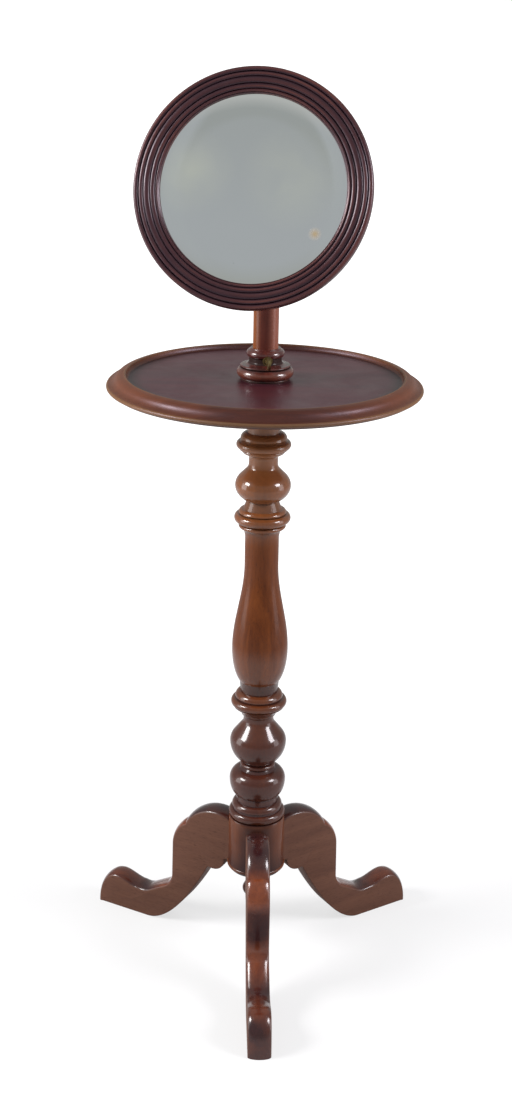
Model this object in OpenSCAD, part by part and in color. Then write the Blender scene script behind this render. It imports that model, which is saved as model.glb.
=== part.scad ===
// Shaving stand: a dished tripod table on a turned column, with a sliding post
// that carries a round mirror on a swivel and a tilting lap joint.
// Origin: on the floor at the column's axis. The front leg points along -Y.

/* [Table] */
// Diameter of the table top
table_d = 400; // [360:5:440]
// Height of the table's rim above the floor
table_h = 840; // [800:5:880]
// Thickness of the table top at its rim
table_t = 20; // [18:1:24]
// Depth of the dish below the rim
dish_depth = 6.5; // [5:0.5:8]
// Width of the moulded rim, from its crest to the table's edge
rim_w = 23; // [20:1:27]
// Diameter of the turned block under the table
block_d = 140; // [120:5:170]
// Thickness of that block
block_t = 18; // [16:1:22]

/* [Column] */
// Height of the column's foot above the floor
column_lift = 133.5; // [126:0.5:140]
// Diameter of the plain base that the legs join
base_d = 77; // [74:1:84]
// Height of the plain base
base_h = 79; // [74:1:86]
// Diameter of the turned rings
ring_d = 73; // [70:1:78]
// Diameter of the turned balls
ball_d = 76.6; // [72:0.2:80]
// Diameter of the thin necks between them
neck_d = 37.8; // [36:0.2:42]
// Diameter of the neck under the table
top_neck_d = 42; // [40:1:48]
// Largest diameter of the long baluster
baluster_d = 74.8; // [70:0.4:80]
// Smallest diameter of the shaft above the baluster
shaft_d = 44.6; // [38:0.2:46]

/* [Legs] */
// Distance from the axis to the tip of a foot
leg_reach = 260; // [250:1:285]
// Thickness of a leg
leg_t = 31; // [26:1:36]
// Rise of a leg's rounded top over its side faces
leg_crown = 6; // [3:0.5:8]
// Width of a leg's tongue at its widest
tongue_w = 20; // [16:1:22]
// Depth of a leg's tongue in the column
tongue_depth = 13; // [10:0.5:16]

/* [Post] */
// Diameter of the sliding post
post_d = 32; // [28:1:33]
// Length of the post
post_len = 279; // [270:1:330]
// Radial clearance of the sliding post
post_gap = 0.08; // [0.04:0.01:0.1]
// Height of the collar on the table
collar_h = 40; // [38:1:50]
// Largest diameter of the collar
collar_d = 72; // [66:1:84]

/* [Mirror] */
// Diameter of the mirror's frame
frame_d = 284; // [260:2:310]
// Width of the frame's moulding, from its edge to the visible glass
frame_w = 31; // [30:0.5:38]
// Thickness of the glass
glass_t = 4; // [3:0.5:5]
// Width of the glass's bevel
bevel_w = 15; // [10:1:20]
// Distance from the tilt axis to the back of the frame
mirror_reach = 54; // [48:1:66]
// Angle that the mirror is turned to its right
mirror_yaw = 10; // [0:0.5:20]
// Angle that the mirror leans back
mirror_tilt = 18; // [0:0.5:30]

/* [Hidden] */
$fn = 96;

// Clearances: glued joints, running fits and loose faces
glue_gap = 0.05;
run_gap = 0.05;
face_gap = 0.3;
eps = 0.01;

// Colours
mahogany = [0.36, 0.17, 0.10];
dark_mahogany = [0.24, 0.11, 0.09];
brass = [0.70, 0.56, 0.30];
iron = [0.20, 0.20, 0.21];
pine = [0.62, 0.47, 0.30];

// Heights that follow from the driving sizes
dish_z = table_h - dish_depth;
table_under = table_h - table_t;
block_under = table_under - block_t;
base_top = column_lift + base_h;
collar_top = dish_z + collar_h;

// Post and its socket
post_r = post_d / 2;
socket_r = post_r + post_gap;
post_bottom = table_under - 76;
socket_floor = post_bottom - 2;
post_top = post_bottom + post_len;

// Swivel and tilt joint, measured up from the post
ferrule_cap = 4;
ferrule_skirt = 16;
ferrule_wall = 2.5;
spigot_r = 5;
spigot_len = 34;
cheek_t = 7;
washer_t = 3;
eye_r = 12;
bolt_r = 3;
head_disc_t = 5;
tilt_z = post_top + ferrule_cap + 27;
lap_offset = cheek_t + washer_t;

// Screws: a countersunk head on a plain shank
screw_r = 2;
screw_head_r = 4;
screw_head_h = 2.4;

// Countersunk screw pointing up, with its head's face at the origin
module screw_body(length, gap) {
    cylinder(r1 = screw_head_r + gap, r2 = screw_r + gap, h = screw_head_h);
    cylinder(r = screw_r + gap, h = length);
}

module screw(length) {
    difference() {
        screw_body(length, 0);
        translate([-screw_head_r, -0.4, -1]) cube([2 * screw_head_r, 0.8, 2]);
    }
}

// What a screw needs cut away, open below its head
module screw_cut(length) {
    screw_body(length + 1, glue_gap);
    translate([0, 0, -3]) cylinder(r = screw_head_r + glue_gap, h = 3 + eps);
}

module ring_of(count, r, turn) {
    for (i = [0:count - 1])
        rotate([0, 0, turn + i * 360 / count]) translate([r, 0, 0]) children();
}

// ---- outline helpers, all as [radius, height] points ----

// Elliptical arc about a centre, with both ends
function arc(c, a, b, from, to, n) =
    [for (i = [0:n]) let (t = from + (to - from) * i / n) [c[0] + a * cos(t), c[1] + b * sin(t)]];

// Smooth S-shaped run between two points, flat to the axis at both, without its first point
function swell(p, q, n) =
    [for (i = [1:n]) let (t = i / n)
        [p[0] + (q[0] - p[0]) * (1 - cos(180 * t)) / 2, p[1] + (q[1] - p[1]) * t]];

// The same run, flat along the first coordinate instead
function rise(p, q, n) =
    [for (i = [1:n]) let (t = i / n)
        [p[0] + (q[0] - p[0]) * t, p[1] + (q[1] - p[1]) * (1 - cos(180 * t)) / 2]];

// Quadratic curve with one control point, without its first point
function bend(p, c, q, n) =
    [for (i = [1:n]) let (t = i / n) (1 - t) * (1 - t) * p + 2 * t * (1 - t) * c + t * t * q];

// Round bead, from its top to its bottom
function bead(r, z, h) = arc([r - h / 2, z], h / 2, h / 2, 90, -90, 8);

// Top of a turned ring: a round shoulder, a quirk and the lip's upper half
function ring_top(r, z, h, shoulder_r, shoulder_z, w, drop) = concat(
    arc([shoulder_r - w, shoulder_z], w, drop, 90, 0, 7),
    [[shoulder_r - 1.5, shoulder_z - 1.4]],
    arc([r - h * 0.45, z], h * 0.45, h / 2, 90, 0, 7));

// Lower half of the lip
function ring_under(r, z, h) = arc([r - h * 0.45, z], h * 0.45, h / 2, -12, -90, 6);

// Upper half of a ball: the neck's hollow, a straight slope and the round from an angle down
function ball_top(r, z, b, from, neck, lead) = let (
    half = arc([0, z], r, b, from, 0, 7),
    corner = [neck, half[0][1] + (half[0][0] - neck) * b / (r * tan(from))],
    near = corner + (half[0] - corner) * 0.25) concat(
    [corner + [0, lead]],
    bend(corner + [0, lead], corner, near, 5),
    half);

// ---- column ----

ring_r = ring_d / 2;
ball_r = ball_d / 2;
neck_r = neck_d / 2;
base_r = base_d / 2;
shaft_r = shaft_d / 2;
baluster_r = baluster_d / 2;
tenon_r = post_r + 6;
tenon_len = block_t - 2;
top_neck_r = top_neck_d / 2;

// Turnings below the table hang from the block's underside
function hang(d) = block_under - d;
// Turnings above the legs stand on the plain base
function stand(d) = base_top + d;

column_outline = concat(
    [[0, block_under + tenon_len], [tenon_r, block_under + tenon_len], [tenon_r, block_under]],
    arc([top_neck_r + 12, hang(36)], 12, 36, 90, 180, 9),
    ring_top(ring_r - 1.2, hang(54.3), 10, top_neck_r + 9, hang(46), 9, 8),
    ring_under(ring_r - 1.2, hang(54.3), 10),
    [[neck_r + 12.5, hang(60.5)]],
    bend([neck_r + 12.5, hang(60.5)], [neck_r + 10, hang(61)], [neck_r + 8, hang(65)], 4),
    [[neck_r + 6, hang(66)]],
    bend([neck_r + 6, hang(66)], [neck_r, hang(67)], [neck_r, hang(73)], 6),
    ball_top(ball_r - 2.1, hang(108.8), 25, 35, neck_r, 5),
    arc([0, hang(108.8)], ball_r - 2.1, 25.5, -6, -55, 10),
    ring_top(ring_r + 0.3, hang(152.6), 12, neck_r + 12.2, hang(145), 6, 4.6),
    ring_under(ring_r + 0.3, hang(152.6), 12),
    [[shaft_r + 10, hang(159.5)]],
    bead(shaft_r + 8.7, hang(163.5), 6),
    bend([shaft_r + 4.7, hang(167)], [shaft_r + 1, hang(169)], [shaft_r, hang(179.5)], 6),
    [[shaft_r, hang(217)]],
    swell([shaft_r, hang(217)], [baluster_r, stand(251.3)], 24),
    arc([neck_r - 2.4, stand(251.3)], baluster_r - neck_r + 2.4, 52.5, -6, -61, 12),
    ring_top(ring_r + 1.2, stand(174.4), 11, neck_r + 13.2, stand(182.4), 7, 7.5),
    ring_under(ring_r + 1.2, stand(174.4), 11),
    [[ring_r - 2.3, stand(167.6)]],
    bend([ring_r - 2.3, stand(167.6)], [ring_r - 12, stand(161.6)], [neck_r + 4.5, stand(156)], 6),
    bend([neck_r + 4.5, stand(156)], [neck_r + 1.5, stand(154)], [neck_r + 1.5, stand(151)], 3),
    ball_top(ball_r, stand(115), 27, 29, neck_r + 1.5, 3),
    arc([0, stand(115)], ball_r, 37.5, -6, -54, 10),
    bead(neck_r + 4.9, stand(79.5), 6),
    [[neck_r + 2.6, stand(75.6)]],
    arc([ball_r - 13.5, stand(57.5)], 13.5, 15, 90, 0, 7),
    arc([ball_r - 13.5, stand(57.5)], 13.5, 25, -8, -70, 9),
    [[ball_r - 9.5, stand(30)]],
    ring_top(base_r + 0.4, stand(6.5), 12, ball_r - 3.7, stand(16.4), 6, 7.5),
    ring_under(base_r + 0.4, stand(6.5), 12),
    [[base_r - 0.9, stand(0)], [base_r, stand(-1.5)]],
    arc([base_r - 1.2, column_lift + 3], 3, 3, 60, -80, 8),
    [[0, column_lift]]);

// Plan of a leg's tongue, grown by a gap: a dovetail that widens into the column
module tongue_plan(gap) {
    inner = base_r - tongue_depth - gap;
    polygon([
        [inner, -tongue_w / 2 - gap], [base_r + 3, -tongue_w * 0.34 - gap],
        [base_r + 3, tongue_w * 0.34 + gap], [inner, tongue_w / 2 + gap]]);
}

tongue_top = column_lift + 58;

// Flats on the column's base that the legs butt against
leg_joint_h = 62;
seat_r = sqrt(base_r * base_r - (leg_t / 2 + glue_gap) * (leg_t / 2 + glue_gap));
seat_top = column_lift + leg_joint_h + leg_crown + 2;

module leg_seat() {
    translate([seat_r, -leg_t / 2 - glue_gap, column_lift - 1])
        cube([base_r, leg_t + 2 * glue_gap, seat_top - column_lift + 1]);
}

// Iron plate under the column, screwed to the column and to the three tongues
plate_t = 2.5;
plate_screw_len = 18;
leg_screw_r = base_r - tongue_depth / 2;
column_screw_r = base_r - 10;
finial_spigot_r = 8;
finial_spigot_len = 20;
spigot_hole_r = finial_spigot_r + glue_gap;
plate_under = column_lift - plate_t;

module plate_screw_places(r, turn) {
    ring_of(3, r, turn - 90) translate([0, 0, plate_under]) children();
}

module column() {
    color(mahogany)
    difference() {
        rotate_extrude() polygon(column_outline);
        translate([0, 0, socket_floor]) cylinder(r = socket_r, h = table_h);
        ring_of(3, 0, -90) translate([0, 0, column_lift - 1])
            linear_extrude(tongue_top - column_lift + 1 + glue_gap) tongue_plan(glue_gap);
        ring_of(3, 0, -90) leg_seat();
        translate([0, 0, column_lift - 1]) cylinder(r = spigot_hole_r, h = finial_spigot_len + 1);
        plate_screw_places(column_screw_r, 60) screw_cut(plate_screw_len);
    }
}

// ---- legs ----

// Curves of a leg's side outline, as centres and radii; u runs outward from the axis
knee = [59, column_lift + 17.7];
knee_r = 50;
cusp = [80.5, column_lift];
cusp_r = 45.5;
ankle = [157, 83];
ankle_r = 30;
instep = [184, 71.5];
instep_r = 33;
toe = [228, 48];
heel_u = 172;
lobe = [61.5, column_lift - 2];
lobe_r = 18.5;
drawn_base_r = 38.5;
drawn_tip = 254;

// Fits the drawn outline between the column and the foot's tip
function fit_leg(points) =
    let (k = (leg_reach - leg_crown - base_r) / (drawn_tip - drawn_base_r))
    [for (p = points) [base_r + (p[0] - drawn_base_r) * k, p[1]]];

// Upper edge of a leg's side face, from the column to the tip of the foot
leg_upper = concat([[seat_r + glue_gap, column_lift + leg_joint_h]], fit_leg(concat(
    arc(knee, knee_r, knee_r, 116, 22, 10),
    arc(cusp, cusp_r, cusp_r, 50, 0, 7),
    arc(ankle, ankle_r, ankle_r, 180, 232, 7),
    arc(instep, instep_r, instep_r, 238, 282, 5),
    rise([instep[0] + instep_r * cos(282), instep[1] + instep_r * sin(282)], toe, 5),
    arc([toe[0], 0], drawn_tip - toe[0], toe[1], 79, 0, 7))));

// Lower edge, from the column to the tip, with a point for each one of the upper edge
belly_top = [lobe[0] + 8.5, lobe[1] - lobe_r];
leg_under = concat([[seat_r + glue_gap, column_lift + 0.5]], fit_leg(concat(
    [[lobe[0] - lobe_r, column_lift + 0.5]],
    arc(lobe, lobe_r, lobe_r, -172, -70, 8),
    [belly_top],
    bend(belly_top, [128, 0], [heel_u, 0], 22),
    [for (i = [1:13]) [heel_u + (drawn_tip - 4 - heel_u) * i / 13, 0]])));

// Direction square to the upper edge at each of its points, straight up next to the column
function across(p, i) =
    let (n = len(p), d = p[min(i + 1, n - 1)] - p[max(i - 1, 0)], s = norm(d))
    i <= 1 ? [0, 1] : i == n - 1 ? [1, 0] : [-d[1] / s, d[0] / s];

// One leg along +X: cross-sections from the column to the tip, with the upper edge crowned
module leg_body() {
    slices = 10;
    ring_n = slices + 3;
    last = len(leg_upper) - 1;
    points = [
        for (i = [0:last]) each concat(
            [for (k = [0:slices])
                let (turn = -90 + 180 * k / slices)
                let (p = leg_upper[i] + across(leg_upper, i) * leg_crown * cos(turn))
                [p[0], leg_t / 2 * sin(turn), p[1]]],
            [for (side = [1, -1]) [leg_under[i][0], side * leg_t / 2, leg_under[i][1]]])];
    skin = [
        for (i = [0:last - 1]) for (k = [0:ring_n - 1])
            let (a = i * ring_n + k, b = i * ring_n + (k + 1) % ring_n)
            each [[a, b, b + ring_n], [a, b + ring_n, a + ring_n]]];
    inner_end = [for (k = [ring_n - 1:-1:0]) k];
    outer_end = [for (k = [0:ring_n - 1]) last * ring_n + k];
    polyhedron(points, concat(skin, [inner_end, outer_end]));
}

module leg(turn) {
    color(mahogany)
    rotate([0, 0, turn]) difference() {
        union() {
            leg_body();
            translate([0, 0, column_lift]) linear_extrude(tongue_top - column_lift) tongue_plan(0);
        }
        translate([leg_screw_r, 0, plate_under]) screw_cut(plate_screw_len);
    }
}

// ---- under the column ----

finial_ball_r = 18;
finial_ball_z = plate_under - 37;

module base_plate() {
    color(iron)
    difference() {
        translate([0, 0, plate_under]) cylinder(r = base_r - 2, h = plate_t);
        translate([0, 0, plate_under - 1]) cylinder(r = spigot_hole_r, h = plate_t + 2);
        plate_screw_places(leg_screw_r, 0) screw_cut(plate_screw_len);
        plate_screw_places(column_screw_r, 60) screw_cut(plate_screw_len);
    }
}

module base_plate_screws() {
    color(iron) {
        plate_screw_places(leg_screw_r, 0) screw(plate_screw_len);
        plate_screw_places(column_screw_r, 60) screw(plate_screw_len);
    }
}

module drop_finial() {
    color(mahogany)
    rotate_extrude() polygon(concat(
        [[0, column_lift + finial_spigot_len - 0.5],
         [finial_spigot_r, column_lift + finial_spigot_len - 0.5]],
        [[finial_spigot_r, plate_under], [13, plate_under]],
        bead(16, plate_under - 3, 5),
        bend([13, plate_under - 6], [8, plate_under - 8], [8, plate_under - 15], 5),
        swell([8, plate_under - 17], [finial_ball_r, finial_ball_z], 9),
        arc([0, finial_ball_z], finial_ball_r, 13, -8, -72, 9),
        arc([0, finial_ball_z - 15], 4, 5, 20, -90, 6)));
}

// ---- under the table ----

block_r = block_d / 2;
block_screw_len = block_t + 8;
block_screw_ring_r = block_r - 18;
collar_screw_len = dish_z - table_under + 9;
collar_screw_ring_r = 27;

module block_screw_places() {
    ring_of(4, block_screw_ring_r, 45) translate([0, 0, block_under]) children();
}

module collar_screw_places() {
    ring_of(3, collar_screw_ring_r, 30) translate([0, 0, table_under]) children();
}

module top_block() {
    color(dark_mahogany)
    difference() {
        rotate_extrude() polygon(concat(
            [[tenon_r + glue_gap, table_under], [block_r, table_under], [block_r, table_under - 5]],
            [[block_r - 2, table_under - 6]],
            arc([block_r - 12, table_under - 6.5], 10, block_t - 8.5, 0, -90, 8),
            [[block_r - 14, block_under], [tenon_r + glue_gap, block_under]]));
        block_screw_places() screw_cut(block_screw_len);
    }
}

module top_block_screws() {
    color(iron) block_screw_places() screw(block_screw_len);
}

// ---- table top ----

table_r = table_d / 2;
crest_r = table_r - rim_w;
edge_z = table_h - 15;
// Shallow housing in the dish for the collar's foot
collar_foot_r = collar_d / 2 - 5;
collar_seat_z = dish_z - 1;
housing_gap = 0.1;

module tabletop() {
    color(mahogany)
    difference() {
        rotate_extrude() polygon(concat(
            [[post_r + 0.6, collar_seat_z], [collar_foot_r + housing_gap, collar_seat_z]],
            [[collar_foot_r + housing_gap, dish_z], [crest_r - 5.5, dish_z]],
            bend([crest_r - 5.5, dish_z], [crest_r - 2.4, dish_z + 0.4], [crest_r - 1.8, table_h - 0.9], 6),
            arc([crest_r, table_h - 1.4], 1.6, 1.4, 150, 75, 4),
            arc([crest_r + 1, table_h - 11], 12, 10.6, 82, 26, 7),
            bend([crest_r + 11.8, table_h - 6.4], [table_r - 8, edge_z + 3.4],
                 [table_r - 2.8, edge_z + 2.6], 6),
            arc([table_r - 2.5, edge_z], 2.5, 2.5, 80, -90, 8),
            [[table_r - 3.6, edge_z - 2.6], [table_r - 6, table_under], [post_r + 0.6, table_under]]));
        block_screw_places() screw_cut(block_screw_len);
        collar_screw_places() screw_cut(collar_screw_len);
    }
}

// ---- collar and clamp ----

collar_r = collar_d / 2;
waist_r = post_r + 4.5;
top_ring_r = post_r + 8;
clamp_z = dish_z + 26.8;
clamp_turn = 5;
bush_r = 4.2;
bush_flange_r = 6.2;
bush_flange_t = 2.4;
bush_seat = waist_r - 0.9;
clamp_r = 2.5;
pad_t = 3;
blade_mid = collar_r + 1;
blade_t = 3;

// Place of the clamp: on the table's dish side, with +Z pointing outward
module clamp_place() {
    rotate([0, 0, clamp_turn]) translate([0, 0, clamp_z]) rotate([90, 0, 0]) children();
}

// Stepped hole in the collar for the bush and its flange
module clamp_hole() {
    translate([0, 0, post_r - 4]) cylinder(r = bush_r + glue_gap, h = collar_r);
    translate([0, 0, bush_seat - glue_gap]) cylinder(r = bush_flange_r + glue_gap, h = collar_r);
}

module collar() {
    color(mahogany)
    difference() {
        rotate_extrude() polygon(concat(
            [[socket_r, collar_seat_z], [collar_foot_r, collar_seat_z], [collar_foot_r, dish_z + 1.6]],
            arc([collar_r - 7, dish_z + 9], 7, 6.8, -75, 80, 12),
            [[collar_r - 6.6, dish_z + 15.9]],
            arc([collar_r - 6.4, dish_z + 17.4], 2, 1.5, -70, 90, 5),
            bend([collar_r - 7.6, dish_z + 19], [waist_r + 1, dish_z + 19], [waist_r, dish_z + 23], 6),
            [[waist_r, collar_top - 12.4]],
            arc([top_ring_r - 5, collar_top - 7], 5, 5.2, -75, 75, 10),
            [[top_ring_r - 4, collar_top - 1.6], [top_ring_r - 5, collar_top], [socket_r, collar_top]]));
        collar_screw_places() screw_cut(collar_screw_len);
        clamp_place() clamp_hole();
    }
}

module collar_screws() {
    color(iron) collar_screw_places() screw(collar_screw_len);
}

module clamp_insert() {
    color(brass)
    clamp_place() difference() {
        union() {
            translate([0, 0, socket_r + 0.5]) cylinder(r = bush_r, h = bush_seat - socket_r);
            translate([0, 0, bush_seat]) cylinder(r = bush_flange_r, h = bush_flange_t);
        }
        cylinder(r = clamp_r + run_gap, h = collar_r);
    }
}

module clamp_pad() {
    color(brass)
    clamp_place() translate([0, 0, post_r + face_gap]) cylinder(r = clamp_r, h = pad_t);
}

module thumbscrew() {
    shaft_start = post_r + pad_t + 2 * face_gap;
    color(brass)
    clamp_place() {
        translate([0, 0, shaft_start]) cylinder(r = clamp_r, h = blade_mid - shaft_start);
        translate([0, 0, bush_seat + bush_flange_t + face_gap]) cylinder(r = 3.6, h = 4);
        translate([blade_t / 2, 0, 0]) rotate([0, -90, 0])
            linear_extrude(blade_t) polygon(arc([blade_mid, 0], 6.5, 8.5, 0, 350, 35));
    }
}

// ---- post ----

spigot_groove_z = -12;

module mirror_post() {
    color(mahogany)
    difference() {
        rotate_extrude() polygon(concat(
            [[0, post_bottom], [post_r - 2, post_bottom], [post_r, post_bottom + 2]],
            [[post_r, post_top - ferrule_skirt - glue_gap]],
            [[post_r - ferrule_wall + 1 - glue_gap, post_top - ferrule_skirt - glue_gap]],
            [[post_r - ferrule_wall + 1 - glue_gap, post_top - glue_gap], [0, post_top - glue_gap]]));
        translate([0, 0, post_top + ferrule_cap - spigot_len - 2]) cylinder(r = spigot_r + run_gap, h = 60);
        grub_cut();
    }
}

module post_ferrule() {
    color(brass)
    difference() {
        rotate_extrude() polygon(concat(
            [[post_r - ferrule_wall + 1, post_top - ferrule_skirt], [post_r + 0.4, post_top - ferrule_skirt]],
            bead_up(post_r + 1.4, post_top - ferrule_skirt + 2.4, 3.6),
            [[post_r + 0.6, post_top - ferrule_skirt + 5], [post_r + 0.6, post_top + ferrule_cap - 2]],
            arc([post_r - 1.4, post_top + ferrule_cap - 2], 2, 2, 0, 90, 5),
            [[spigot_r + run_gap, post_top + ferrule_cap], [spigot_r + run_gap, post_top]],
            [[post_r - ferrule_wall + 1, post_top]]));
        grub_cut();
    }
}

// The same bead from its bottom to its top
function bead_up(r, z, h) = arc([r - h / 2, z], h / 2, h / 2, -60, 60, 5);

grub_r = 1.6;
grub_z = post_top + ferrule_cap + spigot_groove_z;

module grub_cut() {
    translate([0, 0, grub_z]) rotate([-90, 0, 0]) cylinder(r = grub_r + glue_gap, h = post_r + 5);
}

module swivel_grub_screw() {
    color(iron)
    translate([0, 0, grub_z]) rotate([-90, 0, 0])
        difference() {
            translate([0, 0, spigot_r - 0.7]) cylinder(r = grub_r, h = post_r + 0.4 - spigot_r + 0.7);
            translate([-grub_r, -0.3, post_r - 0.4]) cube([2 * grub_r, 0.6, 2]);
        }
}

// ---- swivel ----

head_z = post_top + ferrule_cap + run_gap;

module swivel_head() {
    color(brass)
    rotate([0, 0, -mirror_yaw])
        difference() {
            union() {
                translate([0, 0, head_z]) rotate_extrude() polygon(concat(
                    [[0, -spigot_len], [spigot_r - 1, -spigot_len], [spigot_r, 1 - spigot_len]],
                    [[spigot_r, spigot_groove_z - 2.4], [spigot_r - 1.1, spigot_groove_z - 2.4]],
                    [[spigot_r - 1.1, spigot_groove_z + 2.4], [spigot_r, spigot_groove_z + 2.4]],
                    [[spigot_r, 0], [post_r - 2, 0]],
                    arc([post_r - 3.5, 2], 2, 2, -60, 90, 6),
                    bend([post_r - 4, head_disc_t], [eye_r - 4, head_disc_t + 1],
                         [eye_r - 5, head_disc_t + 4], 4),
                    [[0, head_disc_t + 4]]));
                translate([-cheek_t / 2, 0, 0]) rotate([90, 0, 90]) linear_extrude(cheek_t) {
                    translate([0, tilt_z]) circle(r = eye_r);
                    translate([1 - eye_r, head_z + 2]) square([2 * eye_r - 2, tilt_z - head_z - 2]);
                }
            }
            translate([-cheek_t, 0, tilt_z]) rotate([0, 90, 0])
                cylinder(r = bolt_r + run_gap, h = 2 * cheek_t);
        }
}

// Pivot-centred place of everything that swivels with the mirror
module swivel_place() {
    translate([0, 0, tilt_z]) rotate([0, 0, -mirror_yaw]) children();
}

// The same place, leaning back with the mirror
module tilt_place() {
    swivel_place() rotate([-mirror_tilt, 0, 0]) children();
}

// Mirror's centre at the back of its frame, with +Z out through the glass
module mirror_place() {
    tilt_place() translate([-lap_offset, -mirror_reach, 0]) rotate([90, 0, 0]) children();
}

// ---- tilting joint ----

bracket_t = 3;
bracket_r = 32;
bracket_screw_ring_r = 23;
bracket_screw_len = 9.5;

module bracket_screw_places() {
    ring_of(4, bracket_screw_ring_r, 45) translate([0, 0, -bracket_t]) children();
}

module mirror_bracket() {
    reach = mirror_reach - bracket_t;
    color(brass)
    difference() {
        union() {
            mirror_place() translate([0, 0, -bracket_t]) cylinder(r = bracket_r, h = bracket_t);
            tilt_place() translate([-lap_offset - cheek_t / 2, 0, 0]) rotate([90, 0, 90])
                linear_extrude(cheek_t) {
                    circle(r = eye_r);
                    polygon(concat(
                        [[-reach - 1, -bracket_r + 8], [-reach, -bracket_r + 8]],
                        bend([-reach, -bracket_r + 8], [8 - reach, 2 - eye_r], [0, 2 - eye_r], 8),
                        [[0, eye_r - 2]],
                        bend([0, eye_r - 2], [8 - reach, eye_r - 2], [-reach, bracket_r - 8], 8),
                        [[-reach - 1, bracket_r - 8]]));
                }
        }
        tilt_place() translate([-lap_offset - cheek_t, 0, 0]) rotate([0, 90, 0])
            cylinder(r = bolt_r + glue_gap, h = 2 * cheek_t);
        mirror_place() bracket_screw_places() screw_cut(bracket_screw_len);
    }
}

module bracket_screws() {
    color(brass) mirror_place() bracket_screw_places() screw(bracket_screw_len);
}

module friction_washer() {
    color([0.30, 0.20, 0.13])
    tilt_place() translate([run_gap - lap_offset + cheek_t / 2, 0, 0]) rotate([0, 90, 0])
        difference() {
            cylinder(r = eye_r - 1, h = washer_t - 2 * run_gap);
            translate([0, 0, -1]) cylinder(r = bolt_r + glue_gap, h = washer_t + 2);
        }
}

nut_washer_t = 1.2;
nut_x = cheek_t / 2 + nut_washer_t + 2 * run_gap;
nut_t = 6;
bolt_head_x = -lap_offset - cheek_t / 2 - run_gap;

module pivot_bolt() {
    color(brass)
    tilt_place() rotate([0, 90, 0]) rotate_extrude() polygon(concat(
        [[0, bolt_head_x - 3.6]],
        arc([0, bolt_head_x - 0.8], 6, 2.8, -80, 0, 6),
        [[6, bolt_head_x], [bolt_r, bolt_head_x], [bolt_r, nut_x + nut_t + 3]],
        [[bolt_r - 0.8, nut_x + nut_t + 3.8], [0, nut_x + nut_t + 3.8]]));
}

module nut_washer() {
    color(brass)
    swivel_place() translate([cheek_t / 2 + run_gap, 0, 0]) rotate([0, 90, 0])
        difference() {
            cylinder(r = 7, h = nut_washer_t);
            translate([0, 0, -1]) cylinder(r = bolt_r + run_gap, h = nut_washer_t + 2);
        }
}

module wing_nut() {
    color(brass)
    tilt_place() translate([nut_x, 0, 0]) rotate([0, 90, 0])
        difference() {
            union() {
                cylinder(r1 = 6, r2 = 4.8, h = nut_t);
                for (side = [-1, 1])
                    rotate([90, 0, 0]) translate([0, 0, -1.4]) linear_extrude(2.8) {
                        translate([side * 10, nut_t + 1]) circle(r = 4.6);
                        polygon([
                            [side * 3.2, 0.6], [side * 3.2, nut_t - 0.4],
                            [side * 7.5, nut_t + 4.6], [side * 13, nut_t - 2.2]]);
                    }
            }
            translate([0, 0, -1]) cylinder(r = bolt_r + run_gap, h = nut_t + 8);
        }
}

// ---- mirror ----

frame_r = frame_d / 2;
sight_r = frame_r - frame_w;
glass_r = sight_r + 4;
board_t = 8;
board_r = frame_r - 18;
frame_front = 20.8;
frame_widest = 10;
bevel_drop = 2;
seat_t = 14.5;
glass_front = seat_t + bevel_drop * (sight_r - glass_r + bevel_w) / bevel_w - 0.05;
glass_back = glass_front - glass_t;
frame_bead_w = 6.5;
reed_rise = 2.4;
reed_w = [5.5, 7.7, 6.2, 4];
reed_top = [21.2, 21, 19.8, 18.4];
board_screw_ring_r = (board_r + glass_r) / 2;
board_screw_len = 15;

module board_screw_places() {
    ring_of(8, board_screw_ring_r, 22.5) children();
}

// Outer edge of each reed, counted inwards from the frame's outer bead
function reed_edge(k) = k == 0 ? frame_r - frame_bead_w : reed_edge(k - 1) - reed_w[k - 1];

module mirror_frame() {
    color(dark_mahogany)
    mirror_place() difference() {
        rotate_extrude() polygon(concat(
            [[board_r + 0.2, 0], [frame_r - 6, 0]],
            arc([frame_r - 8, frame_widest], 8, 9.6, -70, 0, 6),
            arc([frame_r - frame_bead_w / 2, frame_front - 3.4], frame_bead_w / 2, 3.4, 0, 168, 10),
            [for (k = [0:3]) each
                arc([reed_edge(k) - reed_w[k] / 2, reed_top[k] - reed_rise],
                    reed_w[k] / 2, reed_rise, 12, 168, 8)],
            [[sight_r + 0.9, seat_t + 2.7], [sight_r, seat_t + 1.9], [sight_r, seat_t]],
            [[glass_r + 0.3, seat_t], [glass_r + 0.3, board_t], [board_r + 0.2, board_t]]));
        board_screw_places() screw_cut(board_screw_len);
    }
}

module mirror_glass() {
    color([0.70, 0.74, 0.74])
    mirror_place() rotate_extrude() polygon([
        [0, glass_back], [glass_r, glass_back], [glass_r, glass_front - bevel_drop],
        [glass_r - bevel_w, glass_front], [0, glass_front]]);
}

module mirror_packing() {
    color([0.45, 0.42, 0.36])
    mirror_place() translate([0, 0, board_t + 0.05])
        cylinder(r = glass_r - 1, h = glass_back - board_t - 0.1);
}

module backboard() {
    color(pine)
    mirror_place() difference() {
        rotate_extrude() polygon([
            [0, 0], [board_r - 2, 0], [board_r, 1.5], [board_r, board_t - 0.05], [0, board_t - 0.05]]);
        board_screw_places() screw_cut(board_screw_len);
        bracket_screw_places() screw_cut(bracket_screw_len);
    }
}

module backboard_screws() {
    color(brass) mirror_place() board_screw_places() screw(board_screw_len);
}

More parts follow.
